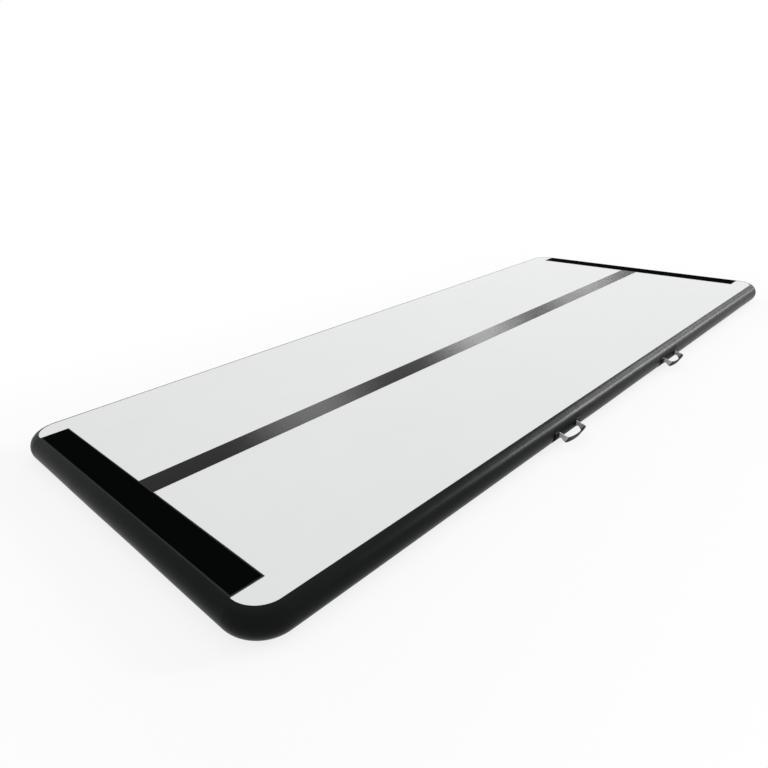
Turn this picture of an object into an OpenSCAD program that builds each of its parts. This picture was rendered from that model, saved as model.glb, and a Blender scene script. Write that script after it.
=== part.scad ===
// Inflatable air track mat: a drop-stitch air chamber with a bulging double side wall,
// joining strips at both ends, a centre stripe, webbing carry handles and a push valve.
// +X runs along the mat to its far end, +Y to its left side, +Z up.
// The origin is on the floor, under the middle of the mat.

/* [Mat] */
// Overall length of the inflated mat
mat_length = 4000; // [2400:10:6000]
// Overall width of the inflated mat
mat_width = 1500; // [1000:10:2400]
// Inflated thickness, from face to face
mat_thickness = 100; // [90:5:150]
// How far the side wall bulges out past the rims of the two faces
wall_bulge = 37; // [28:1:44]
// Corner radius in plan, at the crest of the bulge
corner_radius = 130; // [100:5:250]
// How far the wall laps onto each face
seam_lap = 3; // [3:1:20]

/* [Cloth] */
// Thickness of the coated face cloth
deck_cloth = 1.2; // [0.8:0.1:2]
// Thickness of the outer wall cloth
wall_cloth = 1; // [0.6:0.1:1.5]
// Thickness of the inner wall band
band_cloth = 1; // [0.6:0.1:1.5]
// Pitch of the drop threads
thread_pitch = 140; // [100:5:300]
// Diameter of a bundle of drop threads
thread_d = 2; // [1:0.5:4]
// Clear margin between the drop threads and the edge of the face
thread_margin = 80; // [40:5:150]

/* [Deck trim] */
// Width of the joining strip across each end
join_width = 110; // [50:5:150]
// How far a joining strip stops short of each corner curve
join_gap = 2; // [0:1:60]
// Thickness of a joining strip's backing tape
join_backing = 0.8; // [0.5:0.1:1.5]
// Bare margin of the backing tape round the pile or the hooks
join_margin = 5; // [2:1:12]
// Height of the loop pile
pile_height = 1.2; // [0.6:0.1:2.5]
// Height of the hooks
hook_height = 1; // [0.6:0.1:2.5]
// Width of the stripe down the middle
stripe_width = 97; // [30:1:150]
// Thickness of the stripe
stripe_cloth = 0.6; // [0.3:0.1:1]

/* [Handles] */
// Distance between the middles of the two handles on a side
handle_spacing = 1000; // [500:10:1800]
// Height of a handle's middle above the floor
handle_height = 46; // [36:1:55]
// Length of a handle along the mat, over its webbing
handle_length = 135; // [100:1:200]
// How far a handle reaches out past the mat's side
handle_reach = 45; // [38:1:80]
// Width of the webbing
webbing_width = 25; // [18:1:30]
// Thickness of the webbing
webbing_thick = 3.5; // [2:0.5:5]
// Outer bend radius of the webbing
webbing_bend = 18; // [8:1:20]
// Length of the patch under a handle
patch_length = 196; // [160:2:280]
// Height of the patch's lower edge above the floor
patch_low = 16; // [8:1:25]
// Height of the patch's upper edge above the floor
patch_high = 76; // [62:1:85]
// Thickness of the patch
patch_cloth = 1.2; // [0.6:0.1:2]
// Corner radius of the patch
patch_corner = 14; // [5:1:25]
// How far a handle lifts, in degrees above level
handle_lift = 70; // [30:5:75]
// How far a handle droops, in degrees below level
handle_droop = 45; // [10:5:45]
// Share of that droop at which a handle hangs by itself
hang_share = 0.75; // [0:0.05:0.9]
// Cloth left between a handle's bend line and the patch
root_web = 1.5; // [0.8:0.1:4]

/* [Valve] */
// Distance of the valve from the far end of the mat
valve_from_end = 500; // [300:10:700]
// Radius of the flat land that the valve clamps on
land_radius = 31; // [29:0.5:36]
// How far the land lies in from the crest of the bulge
land_inset = 5; // [3:0.5:8]
// Radius of the valve's flange
flange_radius = 26; // [25.5:0.5:28]
// Thickness of the flange
flange_thick = 3.5; // [2:0.5:5]
// Outer radius of the neck that the cap covers
neck_radius = 21; // [20.5:0.1:22]
// Height of the neck above the flange
neck_height = 8; // [7:0.5:14]
// Radius of the tube that passes through the wall
tube_radius = 20; // [19:0.5:20.5]
// Length of the tube behind the face of the land
tube_length = 18; // [16:0.5:26]
// Radius of the port that takes the pump's adapter
port_radius = 16.5; // [15.5:0.5:17]
// Depth of the port
port_depth = 7; // [4:0.5:7.5]
// Radius of the throat behind the port
throat_radius = 14; // [12:0.5:14.5]
// Radius of the opening inside the seat
seat_radius = 11; // [9:0.5:11.5]
// Thickness of the seat
seat_thick = 6; // [3:0.5:6.5]
// Thickness of the flange gasket
gasket_thick = 1.5; // [1:0.5:3]
// Thickness of the cloth doubler behind the land
doubler_thick = 1; // [0.6:0.1:2]
// Outer radius of the clamping nut
nut_radius = 27.5; // [25.5:0.5:27.5]
// Thickness of the clamping nut
nut_thick = 9; // [6:0.5:10]
// Number of grip notches round the nut
nut_notches = 8; // [6:1:12]
// Radius of a grip notch
notch_radius = 3.5; // [2:0.5:4]
// Radius of the valve stem
stem_radius = 2.5; // [2:0.1:3]
// Radius of the push button on the stem
button_radius = 7; // [6:0.5:9]
// Thickness of the push button
button_thick = 3; // [2:0.5:4]
// How far the stem travels when pushed
stem_travel = 5; // [3:0.5:6]
// Radius of the guide hub round the stem
hub_radius = 4.5; // [4:0.1:6]
// Thickness of the spokes that hold the guide hub
hub_thick = 3; // [2:0.5:4]
// How far the guide hub hangs below its spokes
hub_drop = 2; // [1:0.5:2.5]
// Number of spokes that hold the hub
hub_spokes = 3; // [3:1:6]
// Width of a spoke
spoke_width = 3; // [2:0.5:4]
// Wire diameter of the spring
spring_wire = 0.9; // [0.6:0.1:1.1]
// Radius of the spring at the middle of its wire
spring_radius = 4.4; // [3.8:0.1:5]
// Number of working turns in the spring
spring_turns = 4; // [3:1:5]
// Radius of the rubber diaphragm
diaphragm_radius = 14.5; // [13:0.5:18]
// Thickness of the rubber diaphragm
diaphragm_thick = 2; // [1:0.5:4]
// Radius of the plate that backs the diaphragm
plate_radius = 13; // [9:0.5:16]
// Thickness of the plate at its rim
plate_thick = 2; // [1.5:0.5:4]
// Thickness of the clip on the end of the stem
clip_thick = 1; // [0.6:0.1:2]
// Radius of the clip
clip_radius = 4.5; // [3.8:0.1:6]
// Wall of the cap's skirt
cap_wall = 2.2; // [1.6:0.1:3]
// Thickness of the cap's crown
cap_crown = 4; // [3.5:0.5:6]
// Number of grip ribs round the cap
cap_ribs = 24; // [12:2:36]
// How far a grip rib stands out
rib_height = 0.8; // [0.4:0.1:1.2]
// Thickness of the seal in the cap
cap_seal_thick = 1.3; // [0.8:0.1:2.5]
// Width of the moulded tether and of its rings
tether_width = 6; // [4:0.5:9]
// Thickness of the tether
tether_thick = 1.2; // [0.8:0.1:1.4]
// How far the tether loops out past its rings
tether_loop = 10; // [6:0.5:14]

/* [Clearances] */
// Gap between parts that turn or slide past each other
run_gap = 0.3; // [0.2:0.05:0.6]
// Radial gap between the stem and its guide
stem_gap = 0.08; // [0.03:0.01:0.1]
// Gap between a thread and its nut, and round the tube in the cloth
thread_gap = 0.1; // [0.05:0.05:0.3]

/* [Hidden] */
$fn = 96;
eps = 0.3;
reach_through = 60;

// Plan of the mat
end_x = mat_length / 2;
side_y = mat_width / 2;
rim_x = end_x - wall_bulge;
rim_y = side_y - wall_bulge;
deck_x = rim_x - seam_lap;
deck_y = rim_y - seam_lap;
corner_x = end_x - corner_radius;
corner_y = side_y - corner_radius;
rim_corner = corner_radius - wall_bulge;
deck_corner = rim_corner - seam_lap;

// The wall is an arc through both rims and the crest of the bulge
mid_z = mat_thickness / 2;
arc_radius = (pow(mid_z, 2) + pow(wall_bulge, 2)) / (2 * wall_bulge);
arc_inset = arc_radius - wall_bulge;
joggle_lap = 2;
lap_thick = mid_z - sqrt(pow(arc_radius - wall_cloth, 2) - pow(arc_inset, 2));

// Joining strips and stripe, on top of the deck
join_half = corner_y - join_gap;
stripe_half = deck_x - join_width;

// Handles: the bend line stands off the patch by half the webbing's width
bend_radius = webbing_width / 2;
bend_y = side_y + patch_cloth + root_web + bend_radius;
loop_out = side_y + handle_reach - bend_y;
hang_angle = handle_droop * hang_share;

// Valve, along its own axis from the outer face of the land
valve_x = end_x - valve_from_end;
land_y = side_y - land_inset;
flange_low = gasket_thick;
flange_high = flange_low + flange_thick;
neck_top = flange_high + neck_height;
port_low = neck_top - port_depth;
land_back = -wall_cloth;
doubler_back = land_back - doubler_thick;
nut_low = doubler_back - nut_thick;
tube_low = -tube_length;
seat_high = tube_low + seat_thick;
hub_high = seat_high + hub_thick;
button_high = port_low - run_gap;
button_low = button_high - button_thick;
diaphragm_low = tube_low - diaphragm_thick;
plate_low = diaphragm_low - plate_thick;
clip_low = plate_low - clip_thick;
stem_low = clip_low - clip_thick;
stem_hole = stem_radius + stem_gap;
hub_mid = (stem_hole + hub_radius) / 2;
tube_hole = tube_radius + thread_gap;
collar_high = flange_high + tether_thick;
skirt_radius = neck_radius + run_gap;
cap_radius = skirt_radius + cap_wall;
skirt_low = collar_high + run_gap;
seal_low = neck_top + run_gap;
crown_low = seal_low + cap_seal_thick;
cap_high = crown_low + cap_crown;
ring_low = crown_low + (cap_crown - tether_thick) / 2;
ring_high = ring_low + tether_thick;
groove_radius = cap_radius - cap_wall - rib_height;
ring_radius = cap_radius + rib_height + run_gap;
tether_root = max(ring_radius, flange_radius) - eps;

// Plan of a sheet with rounded corners, centred on the origin
module rounded_plan(half_x, half_y, radius) {
    square([2 * (half_x - radius), 2 * half_y], center = true);
    square([2 * half_x, 2 * (half_y - radius)], center = true);
    for (sx = [-1, 1], sy = [-1, 1])
        translate([sx * (half_x - radius), sy * (half_y - radius)]) circle(radius);
}

// One face of the drop-stitch cloth, outer face down, with its rim joggled up over the wall's lap
module face_cloth() {
    linear_extrude(deck_cloth) rounded_plan(deck_x, deck_y, deck_corner);
    translate([0, 0, lap_thick]) linear_extrude(deck_cloth) difference() {
        rounded_plan(rim_x, rim_y, rim_corner);
        rounded_plan(deck_x - joggle_lap, deck_y - joggle_lap, deck_corner - joggle_lap);
    }
}

// Disc of the wall's arc: x is out from the rim of the face, y is height
module arc_disc(inset) {
    translate([-arc_inset, mid_z]) circle(arc_radius - inset);
}

// Section of a wall layer between two depths below the bulge's outer surface, outboard of the rim
module arc_section(outer, inner) {
    intersection() {
        difference() {
            arc_disc(outer);
            arc_disc(inner);
        }
        translate([0, -mat_thickness]) square(3 * mat_thickness);
    }
}

// The space inside the wall's arc, squared off over the laps
module lapped_disc(inset, lap, rise) {
    intersection() {
        arc_disc(inset);
        translate([-lap, rise]) square([lap + wall_bulge + eps, mat_thickness - 2 * rise]);
    }
}

// Section of the outer wall, with its laps onto the two faces
module wall_section() {
    difference() {
        lapped_disc(0, seam_lap, 0);
        lapped_disc(wall_cloth, seam_lap + eps, lap_thick);
    }
}

// Runs a wall section straight along a side, and round a corner
module side_run(half_length) {
    translate([-half_length, rim_y, 0]) rotate([90, 0, 90]) linear_extrude(2 * half_length) children();
}
module end_run(half_length) {
    translate([rim_x, half_length, 0]) rotate([90, 0, 0]) linear_extrude(2 * half_length) children();
}
module corner_run() {
    translate([corner_x, corner_y, 0]) rotate_extrude(angle = 90) translate([rim_corner, 0]) children();
}

// The left side of a wall: its straight run and the two corners that it turns round
module side_strip() {
    side_run(corner_x) children();
    corner_run() children();
    mirror([1, 0, 0]) corner_run() children();
}

module top_deck() {
    color("#e4e8e6") translate([0, 0, mat_thickness]) mirror([0, 0, 1]) face_cloth();
}

module bottom_deck() {
    color("#6d7173") face_cloth();
}

// Rows of drop threads that hold the two faces parallel
module drop_threads() {
    columns = floor((deck_x - thread_margin) / thread_pitch);
    rows = floor((deck_y - thread_margin) / thread_pitch);
    color("#d9d9d2")
        for (i = [-columns:columns], j = [-rows:rows])
            translate([i * thread_pitch, j * thread_pitch, deck_cloth])
                cylinder(d = thread_d, h = mat_thickness - 2 * deck_cloth, $fn = 24);
}

// Structural band inside the outer wall, in one ring, open behind the valve
module inner_side_band() {
    color("#26292b") difference() {
        union()
            for (sx = [0, 1], sy = [0, 1]) mirror([sx, 0, 0]) mirror([0, sy, 0]) {
                if (sx == 0) side_run(corner_x) arc_section(wall_cloth, wall_cloth + band_cloth);
                if (sy == 0) end_run(corner_y) arc_section(wall_cloth, wall_cloth + band_cloth);
                corner_run() arc_section(wall_cloth, wall_cloth + band_cloth);
            }
        at_valve() translate([0, 0, -reach_through]) cylinder(r = land_radius + eps, h = 2 * reach_through);
    }
}

// Puts a valve piece on the left side wall, with its axis pointing out
module at_valve() {
    translate([valve_x, land_y, mid_z]) rotate([-90, 0, 0]) children();
}

// Short length of the solid inside the wall's arc, at the valve
module arc_core(inset) {
    translate([valve_x, 0, 0]) side_run(2 * land_radius) arc_disc(inset);
}

// Flat land for the valve: a disc of cloth, and a skirt that joins it to the curved wall
module valve_land() {
    at_valve() difference() {
        translate([0, 0, land_back]) cylinder(r = land_radius, h = wall_cloth);
        translate([0, 0, -reach_through]) cylinder(r = tube_hole, h = 2 * reach_through);
    }
    difference() {
        land_tube(-reach_through, 0);
        arc_core(wall_cloth);
    }
    intersection() {
        land_tube(land_back, reach_through);
        arc_core(0);
    }
}
module land_tube(low, high) {
    at_valve() translate([0, 0, low]) difference() {
        cylinder(r = land_radius, h = high - low);
        translate([0, 0, -eps]) cylinder(r = land_radius - wall_cloth, h = high - low + 2 * eps);
    }
}

module right_side_wall() {
    color("#1c1f20") mirror([0, 1, 0]) side_strip() wall_section();
}

module left_side_wall() {
    color("#1c1f20") {
        difference() {
            side_strip() wall_section();
            at_valve() translate([0, 0, -mid_z])
                cylinder(r = land_radius - wall_cloth, h = mid_z + reach_through);
        }
        valve_land();
    }
}

module far_end_wall() {
    color("#1c1f20") end_run(corner_y) wall_section();
}

module near_end_wall() {
    color("#1c1f20") mirror([1, 0, 0]) end_run(corner_y) wall_section();
}

// Joining strip on the far end: its backing tape, and the pile or the hooks on it
module join_tape(inset, low, high) {
    translate([deck_x - join_width + inset, -join_half + inset, mat_thickness + low])
        cube([join_width - 2 * inset, 2 * (join_half - inset), high - low]);
}

module far_join_backing() {
    color("#1a1b1b") join_tape(0, 0, join_backing);
}

module far_join_hooks() {
    color("#0d0d0d") join_tape(join_margin, join_backing, join_backing + hook_height);
}

module near_join_backing() {
    color("#1a1b1b") mirror([1, 0, 0]) join_tape(0, 0, join_backing);
}

module near_join_pile() {
    color("#0b0c0b") mirror([1, 0, 0]) join_tape(join_margin, join_backing, join_backing + pile_height);
}

module centre_stripe() {
    color("#3a3b3a") translate([-stripe_half, -stripe_width / 2, mat_thickness])
        cube([2 * stripe_half, stripe_width, stripe_cloth]);
}

// Puts a left handle at its place along the mat; sx is 1 at the far end, and sy is -1 on the right side
module at_handle(sx, sy) {
    translate([sx * handle_spacing / 2, 0, 0]) mirror([0, sy < 0 ? 1 : 0, 0]) children();
}

// Patch that follows the curve of the wall
module handle_patch() {
    patch_mid = (patch_high + patch_low) / 2;
    color("#131516") intersection() {
        side_run(patch_length / 2) arc_section(-patch_cloth, 0);
        translate([0, 0, patch_mid]) rotate([-90, 0, 0]) linear_extrude(mat_width)
            rounded_plan(patch_length / 2, (patch_high - patch_low) / 2, patch_corner);
    }
}

// Side view of the space that the loop sweeps at one angle, about its bend line
module loop_side(angle) {
    rotate(angle) translate([0, -bend_radius - run_gap])
        square([2 * handle_reach, 2 * (bend_radius + run_gap)]);
}

// The two ends of the webbing that stay on the patch, hollowed out to let the loop swing
module handle_roots() {
    color("#4a4d4e")
        for (side = [-1, 1])
            translate([side * (handle_length - webbing_thick) / 2 - webbing_thick / 2, 0, 0])
                rotate([90, 0, 90]) linear_extrude(webbing_thick) difference() {
                    translate([rim_y, handle_height - bend_radius]) square([bend_y - rim_y, webbing_width]);
                    translate([rim_y, 0]) arc_disc(-patch_cloth);
                    translate([bend_y, handle_height]) {
                        circle(bend_radius + run_gap);
                        loop_side(handle_lift);
                        loop_side(0);
                        loop_side(-handle_droop);
                    }
                }
}

// Plan of a U of webbing about its bend line, taken in by an inset and with its legs run back past the line
module loop_plan(inset, back) {
    length = handle_length - 2 * inset;
    reach = loop_out - inset;
    bend = webbing_bend - inset;
    translate([-length / 2, -back]) square([length, reach - bend + back]);
    translate([-length / 2 + bend, -back]) square([length - 2 * bend, reach + back]);
    for (side = [-1, 1])
        translate([side * (length / 2 - bend), reach - bend]) circle(bend);
}

// Loop of webbing that the hand holds, hanging from its bend line, with its ends rounded about that line
module handle_loop() {
    color("#5b5e5f") translate([0, bend_y, handle_height]) rotate([-hang_angle, 0, 0]) intersection() {
        translate([0, 0, -webbing_width]) linear_extrude(2 * webbing_width) difference() {
            loop_plan(0, webbing_width);
            loop_plan(webbing_thick, webbing_width + eps);
        }
        translate([-handle_length, 0, 0]) rotate([90, 0, 90]) linear_extrude(2 * handle_length) {
            circle(bend_radius);
            translate([0, -bend_radius]) square([2 * loop_out, webbing_width]);
        }
    }
}

// Ring about the valve's axis
module ring(inner, outer, low, high) {
    translate([0, 0, low]) difference() {
        cylinder(r = outer, h = high - low);
        translate([0, 0, -eps]) cylinder(r = inner, h = high - low + 2 * eps);
    }
}

// Flange, neck, port, throat, seat and tube in one moulding, with a spoked hub that guides the stem
module valve_body() {
    color("#202224") at_valve() {
        rotate_extrude() polygon([
            [seat_radius, tube_low],
            [tube_radius, tube_low],
            [tube_radius, flange_low],
            [flange_radius, flange_low],
            [flange_radius, flange_high],
            [neck_radius, flange_high],
            [neck_radius, neck_top],
            [port_radius, neck_top],
            [port_radius, port_low],
            [throat_radius, port_low],
            [throat_radius, seat_high],
            [seat_radius, seat_high]
        ]);
        ring(stem_hole, hub_radius, seat_high - hub_drop, hub_high);
        for (i = [0:hub_spokes - 1])
            rotate((i + 0.25) * 360 / hub_spokes) translate([hub_mid, -spoke_width / 2, seat_high - eps])
                cube([(throat_radius + tube_radius) / 2 - hub_mid, spoke_width, hub_thick]);
    }
}

module valve_gasket() {
    color("#2b2d2e") at_valve() ring(tube_hole, flange_radius, 0, gasket_thick);
}

module valve_doubler() {
    color("#33373a") at_valve() ring(tube_hole, land_radius - wall_cloth - run_gap, doubler_back, land_back);
}

// Clamping nut with grip notches round its rim
module valve_nut() {
    color("#202224") at_valve() difference() {
        ring(tube_hole, nut_radius, nut_low, doubler_back);
        for (i = [0:nut_notches - 1])
            rotate(i * 360 / nut_notches) translate([nut_radius + notch_radius / 2, 0, nut_low - eps])
                cylinder(r = notch_radius, h = nut_thick + 2 * eps);
    }
}

// Coil spring between the hub and the button: closed end turns and even working turns between them
spring_rings = 10;
spring_sides = 6;
spring_gap = run_gap / 3;
spring_low = hub_high + spring_gap;
spring_high = button_low - spring_gap;
spring_rise = spring_high - spring_low - spring_wire;
spring_steps = spring_turns * spring_rings;
spring_points = [for (i = [0:spring_steps])
    [spring_radius * cos(i * 360 / spring_rings), spring_radius * sin(i * 360 / spring_rings),
        spring_low + spring_wire / 2 + spring_rise * i / spring_steps]];
spring_least_gap = min([for (i = [0:spring_steps - spring_rings], k = [-1:1])
    if (i + spring_rings + k <= spring_steps)
        norm(spring_points[i + spring_rings + k] - spring_points[i])]) - spring_wire;
echo(spring_least_gap = spring_least_gap);

module valve_spring() {
    rings = [for (i = [0:spring_steps], s = [0:spring_sides - 1])
        let (turn = i * 360 / spring_rings, a = s * 360 / spring_sides,
            out = spring_wire / 2 * cos(a), up = spring_wire / 2 * sin(a))
            spring_points[i] + [out * cos(turn), out * sin(turn), up]];
    last = spring_steps * spring_sides;
    sides = [for (i = [0:spring_steps - 1], s = [0:spring_sides - 1])
        let (a = i * spring_sides + s, b = i * spring_sides + (s + 1) % spring_sides) each
            [[a, b, b + spring_sides], [a, b + spring_sides, a + spring_sides]]];
    start = [for (s = [1:spring_sides - 2]) [0, s + 1, s]];
    end = [for (s = [1:spring_sides - 2]) [last, last + s, last + s + 1]];
    color("#b9bcc0") at_valve() polyhedron(rings, concat(sides, start, end));
}

// Stem with its push button, which has a cross slot for a finger tip
module valve_stem() {
    color("#2a2d30") at_valve() difference() {
        union() {
            translate([0, 0, stem_low]) cylinder(r = stem_radius, h = button_high - stem_low);
            translate([0, 0, button_low]) cylinder(r = button_radius, h = button_thick);
        }
        for (turn = [0, 90])
            rotate(turn) translate([-button_radius - eps, -stem_radius / 2, button_high - button_thick / 2])
                cube([2 * (button_radius + eps), stem_radius, button_thick]);
    }
}

module valve_diaphragm() {
    color("#17191a") at_valve() ring(stem_hole, diaphragm_radius, diaphragm_low, tube_low);
}

module valve_backing_plate() {
    color("#3b3f42") at_valve() ring(stem_hole, plate_radius, plate_low, diaphragm_low);
}

module valve_stem_clip() {
    color("#b9bcc0") at_valve() difference() {
        ring(stem_hole, clip_radius, clip_low, plate_low);
        translate([0, -stem_radius * 0.75, clip_low - eps])
            cube([2 * clip_radius, stem_radius * 1.5, clip_thick + 2 * eps]);
    }
}

// Screw cap with ribs round its skirt and a groove for the tether's ring
module valve_cap() {
    color("#1d1f21") at_valve() difference() {
        union() {
            translate([0, 0, skirt_low]) cylinder(r = cap_radius, h = cap_high - skirt_low);
            for (i = [0:cap_ribs - 1])
                rotate(i * 360 / cap_ribs) translate([cap_radius, 0, skirt_low])
                    cylinder(r = rib_height, h = crown_low - skirt_low, $fn = 16);
        }
        translate([0, 0, skirt_low - eps]) cylinder(r = skirt_radius, h = crown_low - skirt_low + eps);
        ring(groove_radius, cap_radius + 2 * rib_height, ring_low - run_gap, ring_high + run_gap);
    }
}

module valve_cap_seal() {
    color("#8d3b34") at_valve() ring(throat_radius, neck_radius - run_gap, seal_low, crown_low);
}

// Moulded tether: a collar round the neck, and a flat strap that loops up towards the cap
module valve_tether() {
    bow = (ring_high - flange_high) / 2;
    color("#222527") at_valve() difference() {
        union() {
            ring(neck_radius, flange_radius, flange_high, collar_high);
            translate([0, tether_width / 2, 0]) rotate([90, 0, 0]) linear_extrude(tether_width) {
                for (low = [flange_high, ring_low])
                    translate([tether_root - eps, low]) square([tether_loop + 2 * eps, tether_thick]);
                translate([tether_root + tether_loop, flange_high + bow]) intersection() {
                    difference() {
                        circle(bow);
                        circle(bow - tether_thick);
                    }
                    translate([0, -bow]) square([bow, 2 * bow]);
                }
            }
        }
        translate([0, 0, ring_low - eps])
            cylinder(r = ring_radius + tether_width / 2 + run_gap, h = tether_thick + 2 * eps);
    }
}

module valve_tether_ring() {
    color("#222527") at_valve() ring(groove_radius + run_gap, ring_radius + tether_width / 2, ring_low, ring_high);
}

top_deck();
bottom_deck();
drop_threads();
inner_side_band();
right_side_wall();
left_side_wall();
near_end_wall();
far_end_wall();
near_join_backing();
near_join_pile();
far_join_backing();
far_join_hooks();
centre_stripe();
at_handle(-1, -1) handle_patch();  // right_near_handle_patch
at_handle(-1, -1) handle_roots();  // right_near_handle_roots
at_handle(-1, -1) handle_loop();  // right_near_handle_loop
at_handle(1, -1) handle_patch();  // right_far_handle_patch
at_handle(1, -1) handle_roots();  // right_far_handle_roots
at_handle(1, -1) handle_loop();  // right_far_handle_loop
at_handle(-1, 1) handle_patch();  // left_near_handle_patch
at_handle(-1, 1) handle_roots();  // left_near_handle_roots
at_handle(-1, 1) handle_loop();  // left_near_handle_loop
at_handle(1, 1) handle_patch();  // left_far_handle_patch
at_handle(1, 1) handle_roots();  // left_far_handle_roots
at_handle(1, 1) handle_loop();  // left_far_handle_loop
valve_body();
valve_gasket();
valve_doubler();
valve_nut();
valve_spring();
valve_stem();
valve_diaphragm();
valve_backing_plate();
valve_stem_clip();
valve_cap();
valve_cap_seal();
valve_tether();
valve_tether_ring();
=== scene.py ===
import logging
import math
from abc import ABC, abstractmethod
from dataclasses import dataclass, field
from enum import Enum
from typing import Any, Mapping

import bmesh
import bpy
from bmesh.types import BMEdge, BMesh, BMFace, BMVert
from mathutils import Matrix, Vector, noise
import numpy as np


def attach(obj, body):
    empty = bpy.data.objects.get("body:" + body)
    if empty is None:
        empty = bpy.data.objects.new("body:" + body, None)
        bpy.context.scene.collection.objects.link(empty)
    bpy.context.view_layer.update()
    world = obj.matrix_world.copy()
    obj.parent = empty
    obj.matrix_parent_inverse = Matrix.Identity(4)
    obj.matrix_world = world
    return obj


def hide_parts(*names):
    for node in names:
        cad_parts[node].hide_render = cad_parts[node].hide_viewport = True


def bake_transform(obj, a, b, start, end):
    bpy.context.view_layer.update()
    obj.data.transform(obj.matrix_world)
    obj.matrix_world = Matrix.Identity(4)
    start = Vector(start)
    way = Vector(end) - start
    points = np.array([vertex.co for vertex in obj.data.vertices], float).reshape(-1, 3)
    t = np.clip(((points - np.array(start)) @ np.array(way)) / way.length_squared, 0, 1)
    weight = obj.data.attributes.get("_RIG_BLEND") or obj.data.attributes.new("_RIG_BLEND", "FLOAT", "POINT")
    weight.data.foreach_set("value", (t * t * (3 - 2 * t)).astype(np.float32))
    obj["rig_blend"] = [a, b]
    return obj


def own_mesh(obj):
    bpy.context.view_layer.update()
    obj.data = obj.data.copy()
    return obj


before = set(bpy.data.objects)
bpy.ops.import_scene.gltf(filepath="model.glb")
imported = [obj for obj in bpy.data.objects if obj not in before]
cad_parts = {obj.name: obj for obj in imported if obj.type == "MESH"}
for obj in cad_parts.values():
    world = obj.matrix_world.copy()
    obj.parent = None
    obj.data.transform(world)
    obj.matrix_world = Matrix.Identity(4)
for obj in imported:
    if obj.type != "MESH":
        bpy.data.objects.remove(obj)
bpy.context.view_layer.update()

LOG = logging.getLogger("air_track_mat")
Colour = tuple[float, float, float]
Scale = tuple[float, float, float]

# Corners of a rectangle, in order round it.
CORNERS = ((-1, -1), (1, -1), (1, 1), (-1, 1))
# Distance in metres at which a point counts as lying on a cutting plane.
ON_PLANE = 1e-7
# Places of the colour sockets on a Mix node, whose names aren't unique.
MIX_LOW, MIX_HIGH, MIX_RESULT = 6, 7, 2


class Value:
    """Socket of a shader tree that can be used in arithmetic."""

    def __init__(self, book: "NodeBook", socket: bpy.types.NodeSocket) -> None:
        """Keep the tree that the socket belongs to."""
        self.book = book
        self.socket = socket

    def _math(self, operation: str, first: Any, second: Any = 0.0) -> "Value":
        """Add a Math node.

        Args:
            operation: Name of the operation.
            first: First number or value.
            second: Second number or value.

        Returns:
            The node's result.
        """
        return self.book.out("ShaderNodeMath", {"operation": operation}, {0: first, 1: second})

    def __add__(self, other: Any) -> "Value":
        """Sum."""
        return self._math("ADD", self, other)

    __radd__ = __add__

    def __sub__(self, other: Any) -> "Value":
        """Difference."""
        return self._math("SUBTRACT", self, other)

    def __rsub__(self, other: Any) -> "Value":
        """Difference, with the number first."""
        return self._math("SUBTRACT", other, self)

    def __mul__(self, other: Any) -> "Value":
        """Product."""
        return self._math("MULTIPLY", self, other)

    __rmul__ = __mul__

    def wave(self, pitch: float) -> "Value":
        """Sine with a pitch in metres, from -1 to 1."""
        return self._math("SINE", self * (2 * math.pi / pitch))

    def size(self) -> "Value":
        """Absolute value."""
        return self._math("ABSOLUTE", self)

    def most(self, other: Any) -> "Value":
        """The larger of two."""
        return self._math("MAXIMUM", self, other)

    def rise(self, low: float, high: float) -> "Value":
        """Smooth step.

        Args:
            low: Value that gives 0.
            high: Value that gives 1.

        Returns:
            The step, from 0 to 1.
        """
        return self.book.out(
            "ShaderNodeMapRange",
            {"interpolation_type": "SMOOTHSTEP"},
            {"Value": self, "From Min": low, "From Max": high},
        )


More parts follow.
